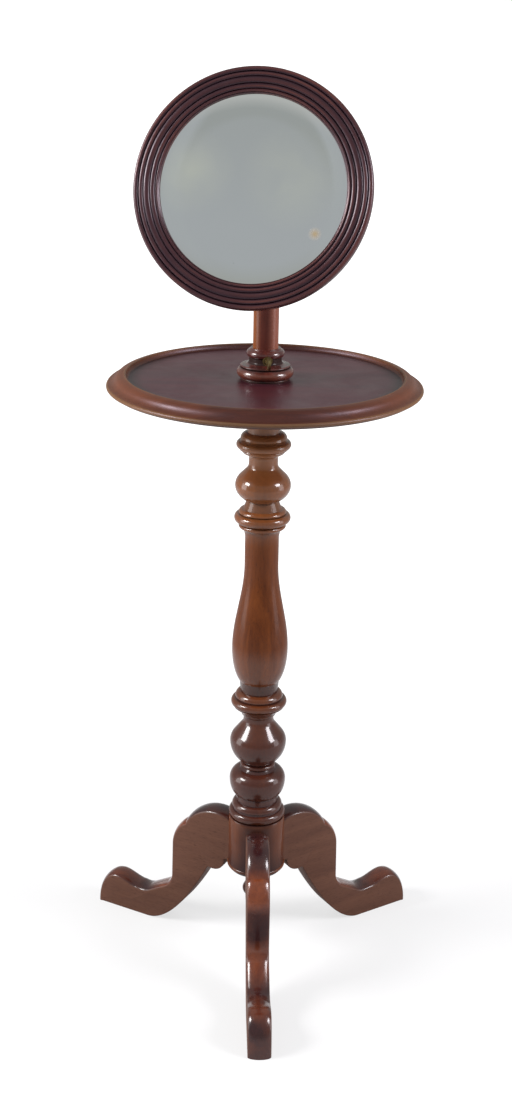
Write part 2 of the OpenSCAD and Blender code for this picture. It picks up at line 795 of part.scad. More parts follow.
column();
leg(-90);  // leg_front
leg(150);  // leg_left
leg(30);  // leg_right
drop_finial();
base_plate();
base_plate_screws();
top_block();
top_block_screws();
tabletop();
collar();
collar_screws();
clamp_insert();
clamp_pad();
thumbscrew();
mirror_post();
post_ferrule();
swivel_head();
swivel_grub_screw();
mirror_bracket();
bracket_screws();
friction_washer();
pivot_bolt();
nut_washer();
wing_nut();
mirror_frame();
mirror_glass();
mirror_packing();
backboard();
backboard_screws();
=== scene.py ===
import math

import bmesh
import bpy
from mathutils import Matrix, Vector


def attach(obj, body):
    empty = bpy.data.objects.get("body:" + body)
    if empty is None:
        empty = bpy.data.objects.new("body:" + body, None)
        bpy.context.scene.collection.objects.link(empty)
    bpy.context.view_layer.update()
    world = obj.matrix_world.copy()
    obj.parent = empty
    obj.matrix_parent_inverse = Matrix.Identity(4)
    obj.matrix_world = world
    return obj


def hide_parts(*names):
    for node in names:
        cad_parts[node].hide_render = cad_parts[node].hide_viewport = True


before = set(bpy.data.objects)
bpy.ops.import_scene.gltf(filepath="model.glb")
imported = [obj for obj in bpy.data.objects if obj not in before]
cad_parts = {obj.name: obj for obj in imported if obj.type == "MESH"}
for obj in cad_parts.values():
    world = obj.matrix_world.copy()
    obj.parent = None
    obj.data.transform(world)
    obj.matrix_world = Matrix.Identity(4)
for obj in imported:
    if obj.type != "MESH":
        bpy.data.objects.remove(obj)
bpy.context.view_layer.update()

# ---- Camera ----
# A long portrait lens on a tripod, a little above the table, looking down on the stand.
# It is level but for one degree, with the whole stand in the frame.

EYE = Vector((-0.0723, -1.9141, 1.2943))
YAW, PITCH, ROLL = 0.0338, 0.3453, 0.0180
FOCAL_LENGTH, SENSOR = 50.96, 36.0
NEAREST, FARTHEST = 0.05, 1000.0

ahead = Vector((math.sin(YAW) * math.cos(PITCH),
                math.cos(YAW) * math.cos(PITCH),
                -math.sin(PITCH)))
across = Vector((math.cos(YAW), -math.sin(YAW), 0.0))
upward = across.cross(ahead)
right = across * math.cos(ROLL) + upward * math.sin(ROLL)
upright = upward * math.cos(ROLL) - across * math.sin(ROLL)

lens = bpy.data.cameras.new("camera")
lens.lens = FOCAL_LENGTH
lens.sensor_width = SENSOR
lens.sensor_fit = "AUTO"
lens.clip_start, lens.clip_end = NEAREST, FARTHEST
camera = bpy.data.objects.new("camera", lens)
turn = Matrix((right, upright, -ahead)).transposed()
camera.matrix_world = Matrix.Translation(EYE) @ turn.to_4x4()
bpy.context.scene.collection.objects.link(camera)
bpy.context.scene.camera = camera
bpy.context.scene.view_settings.view_transform = "Standard"


# ---- Studio ----
# White floor under a soft room light, with a soft box and a dim tall panel at each side.
# The polished wood shows the boxes as paired highlights and the grey room over them.

class Flow:
    """A wire in a material's node tree. Plain arithmetic on values adds Math nodes."""

    def __init__(self, tree, socket=None):
        self.tree = tree
        self.socket = socket

    def node(self, kind, settings=None, sockets=None, out=0):
        """Adds a node: its settings first, then the values or wires of its sockets."""
        made = self.tree.nodes.new(kind)
        for name, value in (settings or {}).items():
            setattr(made, name, value)
        for name, value in (sockets or {}).items():
            if isinstance(value, Flow):
                self.tree.links.new(value.socket, made.inputs[name])
            else:
                made.inputs[name].default_value = value
        return Flow(self.tree, made.outputs[out] if made.outputs else None)

    def math(self, operation, *values):
        return self.node("ShaderNodeMath", {"operation": operation}, dict(enumerate(values)))

    def __add__(self, other):
        return self.math("ADD", self, other)

    def __radd__(self, other):
        return self.math("ADD", other, self)

    def __sub__(self, other):
        return self.math("SUBTRACT", self, other)

    def __rsub__(self, other):
        return self.math("SUBTRACT", other, self)

    def __mul__(self, other):
        return self.math("MULTIPLY", self, other)

    def __rmul__(self, other):
        return self.math("MULTIPLY", other, self)

    def between(self, low, high):
        """0 below low, 1 above high, and a straight run between them."""
        settings = {"clamp": True}
        sockets = {"Value": self, "From Min": low, "From Max": high, "To Min": 0.0, "To Max": 1.0}
        return self.node("ShaderNodeMapRange", settings, sockets)

    def mix(self, factor, first, second):
        """Blends two colours by a factor."""
        sockets = {0: factor, 6: first, 7: second}
        return self.node("ShaderNodeMix", {"data_type": "RGBA"}, sockets, 2)

    def noise(self, place, scale, detail=2.0, rough=0.5, warp=0.0):
        sockets = {"Vector": place, "Scale": scale, "Detail": detail,
                   "Roughness": rough, "Distortion": warp}
        return self.node("ShaderNodeTexNoise", None, sockets)


def put(name, mesh):
    """Stands a mesh or a lamp in the room."""
    made = bpy.data.objects.new(name, mesh)
    bpy.context.scene.collection.objects.link(made)
    return made


def ray_kinds(flow):
    """What the camera sees, and what a polished surface or glass sees, as two masks."""
    by_camera = flow.node("ShaderNodeLightPath", None, None, "Is Camera Ray")
    by_gloss = flow.node("ShaderNodeLightPath", None, None, "Is Glossy Ray")
    through = flow.node("ShaderNodeLightPath", None, None, "Is Transmission Ray")
    return by_camera, flow.math("MAXIMUM", by_gloss, through)


WHITE = (1.0, 1.0, 1.0, 1.0)
WALL_FOOT = (0.7, 0.7, 0.7, 1.0)
FILL_LOW, FILL_HIGH = (0.30, 0.30, 0.31, 1.0), (0.46, 0.46, 0.48, 1.0)

world = bpy.data.worlds.new("room")
world.use_nodes = True
world.node_tree.nodes.clear()
air = Flow(world.node_tree)
by_camera, by_polish = ray_kinds(air)
facing = air.node("ShaderNodeTexCoord", None, None, "Generated")
height = air.node("ShaderNodeSeparateXYZ", None, {"Vector": facing}, "Z")
sideways = air.node("ShaderNodeSeparateXYZ", None, {"Vector": facing}, "X")
beside = air.math("MAXIMUM", sideways.between(-0.37, -0.41), sideways.between(-0.17, -0.13))

# The walls from the floor up: where a band of grey starts and is full, its tone, and its share.
walls = WALL_FOOT
for low, high, tone, share in (
        (0.00, 0.10, (0.360, 0.375, 0.355, 1.0), 1.0),
        (0.24, 0.38, (0.385, 0.405, 0.412, 1.0), 1.0),
        (0.46, 0.56, (0.335, 0.353, 0.342, 1.0), 1.0),
        (0.24, 0.38, (0.390, 0.412, 0.416, 1.0), beside),
        (0.60, 0.68, (0.460, 0.470, 0.450, 1.0), 1.0)):
    walls = air.mix(height.between(low, high) * share, walls, tone)

fill = air.mix(height.between(-0.1, 1.0), FILL_LOW, FILL_HIGH)
glow = air.mix(by_polish, fill, walls)
glow = air.mix(by_camera, glow, WHITE)
shine = air.node("ShaderNodeBackground", None, {"Color": glow, "Strength": 1.0})
air.node("ShaderNodeOutputWorld", None, {"Surface": shine})
bpy.context.scene.world = world

FLOOR = 300.0
FLOOR_GREY, FLOOR_GLOW, FLOOR_SHEEN = (0.50, 0.50, 0.50, 1.0), 1.38, 0.12
corners = [(-FLOOR, -FLOOR, 0), (FLOOR, -FLOOR, 0), (FLOOR, FLOOR, 0), (-FLOOR, FLOOR, 0)]
ground = bpy.data.meshes.new("floor")
ground.from_pydata(corners, [], [(0, 1, 2, 3)])
floor = put("floor", ground)
paper = bpy.data.materials.new("white_floor")
paper.use_nodes = True
paper.node_tree.nodes.clear()
sheet = Flow(paper.node_tree)
by_camera, by_polish = ray_kinds(sheet)
spot = sheet.node("ShaderNodeTexCoord", None, None, "Object")
distance = sheet.node("ShaderNodeVectorMath", {"operation": "LENGTH"}, {0: spot}, "Value")
away = distance.between(0.45, 1.3)
matt = sheet.node("ShaderNodeBsdfDiffuse", None, {"Color": FLOOR_GREY})
lit = sheet.node("ShaderNodeEmission", None, {"Color": WHITE, "Strength": FLOOR_GLOW})
glowing = by_camera * (0.5 + 0.5 * away) + by_polish * FLOOR_SHEEN
both = sheet.node("ShaderNodeMixShader", None, {0: glowing, 1: matt, 2: lit})
sheet.node("ShaderNodeOutputMaterial", None, {"Surface": both})
ground.materials.append(paper)


AIM = Vector((0, 0, 0.6))
WARM_WHITE, COOL_WHITE = (1.0, 0.985, 0.985), (0.98, 0.955, 1.0)


def soft_box(name, azimuth, away, up, size, radiance, tint):
    """A lamp beside the stand: degrees from the front, metres away and up, width and height."""
    lamp = bpy.data.lights.new(name, "AREA")
    lamp.shape = "RECTANGLE"
    lamp.size, lamp.size_y = size
    lamp.energy = radiance * math.pi * size[0] * size[1]
    lamp.color = tint
    box = put(name, lamp)
    turn = math.radians(azimuth)
    box.location = (away * math.sin(turn), -away * math.cos(turn), up)
    box.rotation_euler = (AIM - box.location).to_track_quat("-Z", "Y").to_euler()


soft_box("left_box", -78, 2.8, 2.35, (1.15, 1.0), 31.0, WARM_WHITE)
soft_box("left_panel", -86, 3.2, 0.9, (1.4, 2.0), 4.0, WARM_WHITE)
soft_box("right_box", 68, 2.8, 2.3, (1.1, 0.95), 24.0, COOL_WHITE)
soft_box("right_panel", 78, 3.2, 0.9, (1.3, 2.0), 3.0, COOL_WHITE)


# ---- Column ----
# One turned length of mahogany with rings, balls and a long baluster, bored for the post.
# Its plain foot takes the three legs, and a tenon at its top is glued into the block.

MM = 0.001
PER_MM = 1000.0

BLOCK_UNDER = 802.0
BASE_TOP = 212.5
LIFT = 133.5
BASE_R, RING_R, BALL_R, NECK_R = 38.5, 36.5, 38.3, 18.9
TOP_NECK_R, SHAFT_R, BALUSTER_R = 21.0, 22.3, 37.4
BORE_R, BORE_END, TENON_R, TENON_TOP = 16.08, 742.0, 22.0, 818.0
SPIGOT_R, SPIGOT_HOLE = 8.05, 20.0


def hang(d):
    """Height of a point so far under the block."""
    return BLOCK_UNDER - d


def stand(d):
    """Height of a point so far over the plain foot."""
    return BASE_TOP + d


TOP_RING, SMALL_BALL, SECOND_RING, NECK_BEAD = hang(54.3), hang(108.8), hang(152.6), hang(163.5)
BALUSTER, THIRD_RING, LARGE_BALL = stand(251.3), stand(174.4), stand(115)
LOW_BEAD, LOW_BALL, FOOT_RING = stand(79.5), stand(57.5), stand(6.5)


def arc(centre, a, b, start, stop, steps):
    """Part of an ellipse from one angle to another, in degrees from straight out."""
    spread = [math.radians(start + (stop - start) * i / steps) for i in range(steps + 1)]
    return [(centre[0] + a * math.cos(t), centre[1] + b * math.sin(t)) for t in spread]


def swell(p, q, steps):
    """An S-shaped run that starts and ends along the axis."""
    spread = [i / steps for i in range(1, steps + 1)]
    return [(p[0] + (q[0] - p[0]) * (1 - math.cos(math.pi * t)) / 2, p[1] + (q[1] - p[1]) * t)
            for t in spread]


def bend(p, c, q, steps):
    """A curve drawn towards one point."""
    spread = [i / steps for i in range(1, steps + 1)]
    return [tuple((1 - t) ** 2 * p[k] + 2 * t * (1 - t) * c[k] + t * t * q[k] for k in (0, 1))
            for t in spread]


def bead(r, z, h):
    """A half round, by its reach, its middle and its height."""
    return arc((r - h / 2, z), h / 2, h / 2, 90, -90, 14)


LIP = 0.45
QUIRK_IN, QUIRK_DOWN = 1.5, 1.4


def ring_top(r, z, h, shoulder_r, shoulder_z, w, drop):
    """A ring from above: its round shoulder, a quirk, and its lip down to the widest point."""
    shoulder = arc((shoulder_r - w, shoulder_z), w, drop, 90, 0, 14)
    quirk = [(shoulder_r - QUIRK_IN, shoulder_z - QUIRK_DOWN)]
    return shoulder + quirk + arc((r - h * LIP, z), h * LIP, h / 2, 90, 0, 14)


def ring_under(r, z, h):
    """The lip's lower half."""
    return arc((r - h * LIP, z), h * LIP, h / 2, -6, -90, 12)


def ball_top(r, z, b, start, neck, lead):
    """A ball's upper half: out of the neck in a hollow, straight down a slope, and round."""
    half = arc((0, z), r, b, start, 0, 16)
    corner = (neck, half[0][1] + (half[0][0] - neck) * b / (r * math.tan(math.radians(start))))
    near, middle = ((corner[0] + (half[0][0] - corner[0]) * t,
                     corner[1] + (half[0][1] - corner[1]) * t) for t in (0.25, 0.6))
    top = (neck, corner[1] + lead)
    return [top] + bend(top, corner, near, 12) + [middle] + half


RELIEF_REACH, RELIEF_FULL, RELIEF_POINTS = 4.0, 0.9, 24


def relief(outline):
    """How far each point stands out of the outline round it, -1 in a quirk to 1 on a crest."""
    found = []
    for i, (r, z) in enumerate(outline):
        near = [p for p in outline[max(0, i - RELIEF_POINTS):i + RELIEF_POINTS + 1]
                if math.hypot(p[0] - r, p[1] - z) < RELIEF_REACH]
        middle = (sum(p[0] for p in near) / len(near), sum(p[1] for p in near) / len(near))
        before, after = outline[max(0, i - 1)], outline[min(len(outline) - 1, i + 1)]
        along = (after[0] - before[0], after[1] - before[1])
        size = math.hypot(*along) or 1.0
        out = (-along[1] / size, along[0] / size)
        rise = (r - middle[0]) * out[0] + (z - middle[1]) * out[1]
        found.append(max(-1.0, min(1.0, rise / RELIEF_FULL)))
    return found


SHARP_TURN = math.radians(34)


def turned(name, outline, steps, closed=False):
    """Turns an outline round the Z axis: radius and height in millimetres, from its top down."""
    work = bmesh.new()
    wear_and_light = work.verts.layers.float.new("relief")
    rings = []
    for (r, z), stands in zip(outline, relief(outline)):
        count = steps if r > 0.01 else 1
        spread = [2 * math.pi * k / steps for k in range(count)]
        ring = [work.verts.new((r * MM * math.cos(t), r * MM * math.sin(t), z * MM))
                for t in spread]
        for v in ring:
            v[wear_and_light] = stands
        rings.append(ring)
    pairs = list(zip(rings, rings[1:])) + ([(rings[-1], rings[0])] if closed else [])
    for upper, lower in pairs:
        for k in range(steps):
            corners = [upper[k % len(upper)], lower[k % len(lower)],
                       lower[(k + 1) % len(lower)], upper[(k + 1) % len(upper)]]
            corners = list(dict.fromkeys(corners))
            if len(corners) > 2:
                work.faces.new(corners).smooth = True
    bmesh.ops.recalc_face_normals(work, faces=work.faces)
    for edge in work.edges:
        if len(edge.link_faces) == 2 and edge.calc_face_angle(0.0) > SHARP_TURN:
            edge.smooth = False
    mesh = bpy.data.meshes.new(name)
    work.to_mesh(mesh)
    work.free()
    return put(name, mesh)


def colour(red, green, blue):
    """A colour given on the usual 0 to 255 scale."""
    linear = [((v / 255 + 0.055) / 1.055) ** 2.4 if v > 10 else v / 255 / 12.92
              for v in (red, green, blue)]
    return (*linear, 1.0)


def new_finish(name):
    """An empty material and the flow that fills it."""
    made = bpy.data.materials.new(name)
    made.use_nodes = True
    made.node_tree.nodes.clear()
    return made, Flow(made.node_tree)


def close_finish(flow, sockets):
    """Ends a material in one polished or plain surface."""
    skin = flow.node("ShaderNodeBsdfPrincipled", None, sockets)
    flow.node("ShaderNodeOutputMaterial", None, {"Surface": skin})


def raised(flow, height, strength=0.25, depth=0.2):
    """Shallow relief in a finish, its depth in millimetres."""
    sockets = {"Strength": strength, "Distance": depth * MM, "Height": height}
    return flow.node("ShaderNodeBump", None, sockets)


def mesh_measure(flow, name="relief"):
    """A measure that the mesh carries."""
    return flow.node("ShaderNodeAttribute", {"attribute_name": name}, None, "Fac")


def object_place(flow):
    """The place on the piece itself, in metres."""
    return flow.node("ShaderNodeTexCoord", None, None, "Object")


def along_axis(flow, axis):
    """One coordinate of the piece, in millimetres."""
    return flow.node("ShaderNodeSeparateXYZ", None, {"Vector": object_place(flow)}, axis) * PER_MM


FIBRE_STRETCH = 0.085
RIBBONS, FIBRES, PORES = 46.0, 330.0, 1500.0
PORE = (0.010, 0.004, 0.003, 1.0)


def figured(flow, fibre, pale, deep, shift=0.0):
    """Colour of mahogany with its fibres along one axis, and the height of its filled pores."""
    along = [1.0, 1.0, 1.0]
    along[fibre] = FIBRE_STRETCH
    sockets = {0: object_place(flow), 1: along, 2: (shift, shift * 0.7, shift * 1.3)}
    cut = flow.node("ShaderNodeVectorMath", {"operation": "MULTIPLY_ADD"}, sockets)
    ribbon = flow.noise(cut, RIBBONS, 3.0, 0.55, 1.1)
    fibres = flow.noise(cut, FIBRES, 3.0, 0.6, 0.3)
    pores = flow.noise(cut, PORES, 1.0, 0.5).between(0.60, 0.74)
    tone = (ribbon * 0.68 + fibres * 0.32).between(0.28, 0.72)
    wood = flow.mix(tone, deep, pale)
    wood = flow.mix(pores * 0.45, wood, PORE)
    return wood, 1.0 - pores


column_outline = (
    [(0, BORE_END), (BORE_R, BORE_END), (BORE_R, TENON_TOP), (TENON_R, TENON_TOP),
     (TENON_R, BLOCK_UNDER)]
    + arc((TOP_NECK_R + 12, hang(36)), 12, 36, 90, 180, 22)
    + ring_top(RING_R - 1.2, TOP_RING, 10, TOP_NECK_R + 9, hang(46), 9, 8)
    + ring_under(RING_R - 1.2, TOP_RING, 10)
    + [(NECK_R + 12.5, hang(60.5))]
    + bend((NECK_R + 12.5, hang(60.5)), (NECK_R + 10, hang(61)), (NECK_R + 8, hang(65)), 8)
    + [(NECK_R + 6, hang(66))]
    + bend((NECK_R + 6, hang(66)), (NECK_R, hang(67)), (NECK_R, hang(73)), 10)
    + ball_top(BALL_R - 2.1, SMALL_BALL, 25, 35, NECK_R, 5)
    + arc((0, SMALL_BALL), BALL_R - 2.1, 25.5, -3, -55, 24)
    + ring_top(RING_R + 0.3, SECOND_RING, 12, NECK_R + 12.2, hang(145), 6, 4.6)
    + ring_under(RING_R + 0.3, SECOND_RING, 12)
    + [(SHAFT_R + 10, hang(159.5))]
    + bead(SHAFT_R + 8.7, NECK_BEAD, 6)
    + bend((SHAFT_R + 4.7, hang(167)), (SHAFT_R + 1, hang(169)), (SHAFT_R, hang(179.5)), 14)
    + [(SHAFT_R, hang(196)), (SHAFT_R, hang(217))]
    + swell((SHAFT_R, hang(217)), (BALUSTER_R, BALUSTER), 60)
    + arc((NECK_R - 2.4, BALUSTER), BALUSTER_R - NECK_R + 2.4, 52.5, -3, -61, 30)
    + ring_top(RING_R + 1.2, THIRD_RING, 11, NECK_R + 13.2, stand(182.4), 7, 7.5)
    + ring_under(RING_R + 1.2, THIRD_RING, 11)
    + [(RING_R - 2.3, stand(167.6))]
    + bend((RING_R - 2.3, stand(167.6)), (RING_R - 12, stand(161.6)),
           (NECK_R + 4.5, stand(156)), 14)
    + bend((NECK_R + 4.5, stand(156)), (NECK_R + 1.5, stand(154)), (NECK_R + 1.5, stand(151)), 6)
    + ball_top(BALL_R, LARGE_BALL, 27, 29, NECK_R + 1.5, 3)
    + arc((0, LARGE_BALL), BALL_R, 37.5, -3, -54, 24)
    + bead(NECK_R + 4.9, LOW_BEAD, 6)
    + [(NECK_R + 2.6, stand(75.6))]
    + arc((BALL_R - 13.5, LOW_BALL), 13.5, 15, 90, 0, 16)
    + arc((BALL_R - 13.5, LOW_BALL), 13.5, 25, -4, -70, 20)
    + [(BALL_R - 9.5, stand(30))]
    + ring_top(BASE_R + 0.4, FOOT_RING, 12, BALL_R - 3.7, stand(16.4), 6, 7.5)
    + ring_under(BASE_R + 0.4, FOOT_RING, 12)
    + [(BASE_R - 0.9, stand(0)), (BASE_R, stand(-1.5)), (BASE_R, stand(-40))]
    + arc((BASE_R - 1.2, LIFT + 3), 3, 3, 60, -80, 14)
    + [(SPIGOT_R, LIFT), (SPIGOT_R, LIFT + SPIGOT_HOLE), (0, LIFT + SPIGOT_HOLE)]
)
column = turned("turned_column", column_outline, 128)

# The column is painted darker towards the bottom as shade and paler under the table as light;
# its polish is dulled on the shaft by hands, and shade is painted over the front leg's root.
mahogany, m = new_finish("polished_mahogany")
wood, pore_height = figured(m, 2, colour(110, 57, 22), colour(72, 32, 10))
stands = mesh_measure(m)
# Painted shade: quirks and hollows are darkened. Crests are a little paler, as wear and a painted
# highlight.
wood = m.mix(stands.between(-0.1, -0.9) * 0.75, wood, colour(38, 15, 10))
wood = m.mix(stands.between(0.25, 0.95) * 0.25, wood, colour(124, 70, 36))
level = along_axis(m, "Z")
painted_low_shade = level.between(440, 330)
plain = level.between(BASE_TOP + 8.5, BASE_TOP + 0.5)
# Painted shade: darker towards the bottom, less so on the plain foot.
wood = m.mix(painted_low_shade * 0.72 - plain * 0.4, wood, colour(50, 20, 20))
# Painted light: the upper column and its neck under the table are painted paler.
pale = level.between(600, 680) * 0.36 + level.between(712, 728) * 0.3
wood = m.mix(pale, wood, colour(146, 92, 52))
# Painted shade: dark over the front leg's root, on the plain foot.
off_middle = m.math("ABSOLUTE", along_axis(m, "X"))
painted_root_shade = off_middle.between(31, 12) * level.between(BASE_TOP + 9.5, BASE_TOP - 6.5)
wood = m.mix(painted_root_shade * 0.7, wood, colour(26, 13, 17))
handled = level.between(455, 475) * level.between(635, 615)
smears = m.noise(object_place(m), 38.0, 3.0, 0.6)
rough = 0.34 + smears.between(0.35, 0.7) * 0.12 + stands.between(-0.1, -0.9) * 0.2
close_finish(m, {"Base Color": wood, "Roughness": rough, "Normal": raised(m, pore_height),
                 "Coat Weight": 1.0 - handled * 0.8 - painted_low_shade * 0.2 - plain * 0.4,
                 "Coat Roughness": 0.13, "Specular IOR Level": 0.12})
column.data.materials.append(mahogany)
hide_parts("column")
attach(column, "stand")


# ---- Legs ----
# Three legs sawn from mahogany board, flat on both sides with a rounded and polished top edge.
# Each is dovetailed into the column's foot; the fibres run along the leg.

LEG_T, LEG_CROWN, LEG_TIP, ARRIS = 31.0, 6.0, 254.0, 1.2
SEAT_R = math.sqrt(BASE_R ** 2 - (LEG_T / 2) ** 2)
STEP_CUTS, SOLE_CUTS, CROWN_CUTS, ARRIS_CUTS = 18, 24, 20, 3
CROWN_SPREAD, SHARP_EDGE = 1.6, math.radians(40)
TOE, SOLE_START, SOLE_END = (228, 48), 172, 250

leg_top = (
    [(SEAT_R, LIFT + 62)]
    + arc((59, LIFT + 17.7), 50, 50, 116, 22, 40)
    + arc((80.5, LIFT), 45.5, 45.5, 50, 0, 26)
    + arc((157, 83), 30, 30, 180, 232, 26)
    + arc((184, 71.5), 33, 33, 238, 282, 18)
)
instep_end = leg_top[-1]
leg_top += [(instep_end[0] + (TOE[0] - instep_end[0]) * t,
             instep_end[1] + (TOE[1] - instep_end[1]) * (1 - math.cos(math.pi * t)) / 2)
            for t in (i / STEP_CUTS for i in range(1, STEP_CUTS + 1))]
leg_top += arc((TOE[0], 0), LEG_TIP - TOE[0], TOE[1], 79, 0, 30)
leg_under = (
    [(SEAT_R, LIFT + 0.5), (43, LIFT + 0.5)]
    + arc((61.5, LIFT - 2), 18.5, 18.5, -172, -70, 24)
    + [(70, LIFT - 20.5)]
    + bend((70, LIFT - 20.5), (128, 0), (SOLE_START, 0), 70)
    + [(SOLE_START + (SOLE_END - SOLE_START) * i / SOLE_CUTS, 0.0)
       for i in range(1, SOLE_CUTS + 1)]
)


def square_to(line, i):
    """Direction square to a line at one of its points, to its left."""
    a, b = line[max(i - 1, 0)], line[min(i + 1, len(line) - 1)]
    size = math.hypot(b[0] - a[0], b[1] - a[1])
    return (-(b[1] - a[1]) / size, (b[0] - a[0]) / size)


def leg_mesh(name):
    """A flat board cut to both lines, with a rounded crown on top and a softened edge below."""
    work = bmesh.new()
    crown = work.verts.layers.float.new("crown")
    half = LEG_T / 2
    rows = []
    for i, (u, z) in enumerate(leg_top):
        out = square_to(leg_top, i)
        if i < 2:
            out = (0.0, 1.0)
        if i == len(leg_top) - 1:
            out = (1.0, 0.0)
        row = []
        for k in range(CROWN_CUTS + 1):
            t = math.pi * (k / CROWN_CUTS - 0.5)
            lift = LEG_CROWN * math.cos(t)
            v = work.verts.new(((u + out[0] * lift) * MM, half * math.sin(t) * MM,
                                (z + out[1] * lift) * MM))
            v[crown] = min(1.0, CROWN_SPREAD * math.cos(t))
            row.append(v)
        rows.append(row)
    under = []
    for i, (u, z) in enumerate(leg_under):
        out = (0.0, 1.0) if i in (0, len(leg_under) - 1) else square_to(leg_under, i)
        row = []
        for side in (-1, 1):
            bow = []
            for k in range(ARRIS_CUTS + 1):
                t = math.pi / 2 * k / ARRIS_CUTS
                inset = ARRIS * (1 - math.sin(t))
                drop = ARRIS * (1 - math.cos(t))
                bow.append(work.verts.new(((u + out[0] * inset) * MM, side * (half - drop) * MM,
                                           (z + out[1] * inset) * MM)))
            row += bow if side < 0 else bow[::-1]
        under.append(row)
    for lines in (rows, under):
        for a, b in zip(lines, lines[1:]):
            for k in range(len(a) - 1):
                work.faces.new((a[k], a[k + 1], b[k + 1], b[k])).smooth = True
    for k in (0, -1):
        rim = [row[k] for row in rows] + [row[k] for row in reversed(under)]
        work.faces.new(rim).smooth = True
    for end in (0, -1):
        work.faces.new(rows[end] + list(reversed(under[end])))
    bmesh.ops.recalc_face_normals(work, faces=work.faces)
    for edge in work.edges:
        if len(edge.link_faces) == 2 and edge.calc_face_angle(0.0) > SHARP_EDGE:
            edge.smooth = False
    mesh = bpy.data.meshes.new(name)
    work.to_mesh(mesh)
    work.free()
    return mesh


# The crown is painted dark between the knee and the instep as shade, and left warm there as
# painted light.
leg_shape = leg_mesh("leg")
leg_wood, m = new_finish("leg_mahogany")
wood, pore_height = figured(m, 0, colour(104, 71, 56), colour(86, 57, 46), 3.1)
edge_wood, _ = figured(m, 0, colour(122, 62, 34), colour(84, 38, 24), 7.7)
mottle = m.noise(object_place(m), 26.0, 2.0, 0.5, 0.4).between(0.35, 0.65)
level = along_axis(m, "Z")
knee = level.between(132, 148) * level.between(186, 174)
instep = level.between(44, 58) * level.between(94, 80)
shin = level.between(78, 92) * level.between(146, 132)
painted_crown_shade = (1.0 - m.math("MAXIMUM", knee, instep * 0.75)) * (0.6 + mottle * 0.3)
edge_wood = m.mix(painted_crown_shade, edge_wood, colour(34, 15, 21))
on_crown = mesh_measure(m, "crown").between(0.15, 0.75)
wood = m.mix(on_crown, wood, edge_wood)
scuffs = m.noise(object_place(m), 60.0, 4.0, 0.65)
rough = 0.46 - on_crown * 0.26 + scuffs.between(0.4, 0.75) * 0.12
close_finish(m, {"Base Color": wood, "Roughness": rough, "Normal": raised(m, pore_height, 0.3),
                 "Coat Weight": on_crown * (0.9 - shin * 0.65), "Coat Roughness": 0.18,
                 "Specular IOR Level": 0.15})
leg_shape.materials.append(leg_wood)
for name, heading in (("leg_front", -90), ("leg_left", 150), ("leg_right", 30)):
    leg = put(name + "_shaped", leg_shape)
    leg.rotation_euler = (0, 0, math.radians(heading))
    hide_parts(name)
    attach(leg, "stand")


# ---- Under the column ----
# A round iron plate ties the legs' tongues to the column with countersunk screws.
# A small turned drop with a spigot is glued up through the plate.

PLATE_UNDER = LIFT - 2.5
DROP_Z = PLATE_UNDER - 37
DROP_SPIGOT_R, DROP_SPIGOT_TOP = 8.0, 153.0

iron, m = new_finish("dull_iron")
rust = m.noise(object_place(m), 160.0, 5.0, 0.7)
metal = m.mix(rust.between(0.5, 0.72), colour(62, 60, 60), colour(86, 52, 36))
close_finish(m, {"Base Color": metal, "Roughness": 0.45 + rust.between(0.4, 0.7) * 0.3,
                 "Metallic": 1.0 - rust.between(0.5, 0.72) * 0.8,
                 "Normal": raised(m, rust, 0.4, 0.4)})


def finish_part(name, material):
    """Gives a CAD part its material."""
    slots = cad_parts[name].data.materials
    slots.clear()
    slots.append(material)


for name in ("base_plate", "base_plate_screws"):
    finish_part(name, iron)

drop = turned("turned_drop", (
    [(DROP_SPIGOT_R, DROP_SPIGOT_TOP), (DROP_SPIGOT_R, PLATE_UNDER), (13, PLATE_UNDER)]
    + bead(16, PLATE_UNDER - 3, 5)
    + bend((13, PLATE_UNDER - 6), (8, PLATE_UNDER - 8), (8, PLATE_UNDER - 15), 10)
    + swell((8, PLATE_UNDER - 17), (18, DROP_Z), 20)
    + arc((0, DROP_Z), 18, 13, -4, -72, 20)
    + arc((0, DROP_Z - 15), 4, 5, 20, -90, 10)), 64)
drop.data.materials.append(mahogany)
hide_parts("drop_finial")
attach(drop, "stand")


# ---- Block under the table ----
# A turned round of mahogany, screwed to the table's underside with the column's tenon glued in it.
# It is darker and less polished than the rest, as it is seldom seen.

dull_mahogany, m = new_finish("dull_mahogany")
wood, pore_height = figured(m, 0, colour(96, 52, 38), colour(58, 28, 22), 5.3)
rough = 0.42 + m.noise(object_place(m), 50.0, 3.0) * 0.15
close_finish(m, {"Base Color": wood, "Roughness": rough,
                 "Normal": raised(m, pore_height, 0.4, 0.3),
                 "Coat Weight": 0.2, "Coat Roughness": 0.25, "Specular IOR Level": 0.4})
finish_part("top_block", dull_mahogany)
finish_part("top_block_screws", iron)


# ---- Table top ----
# One round of mahogany turned on the faceplate, with a flat dished floor inside a moulded rim:
# a fine crest, a broad ogee slope, a quirk and a small bead along the edge.

TABLE_R, TABLE_H, TABLE_UNDER, DISH_Z = 200.0, 840.0, 820.0, 833.5
CREST_R, EDGE_Z, EDGE_BEAD = 177.0, 825.0, 2.5
POST_HOLE_R, COLLAR_SEAT_R, SEAT_DEPTH = 16.6, 31.1, 1.0

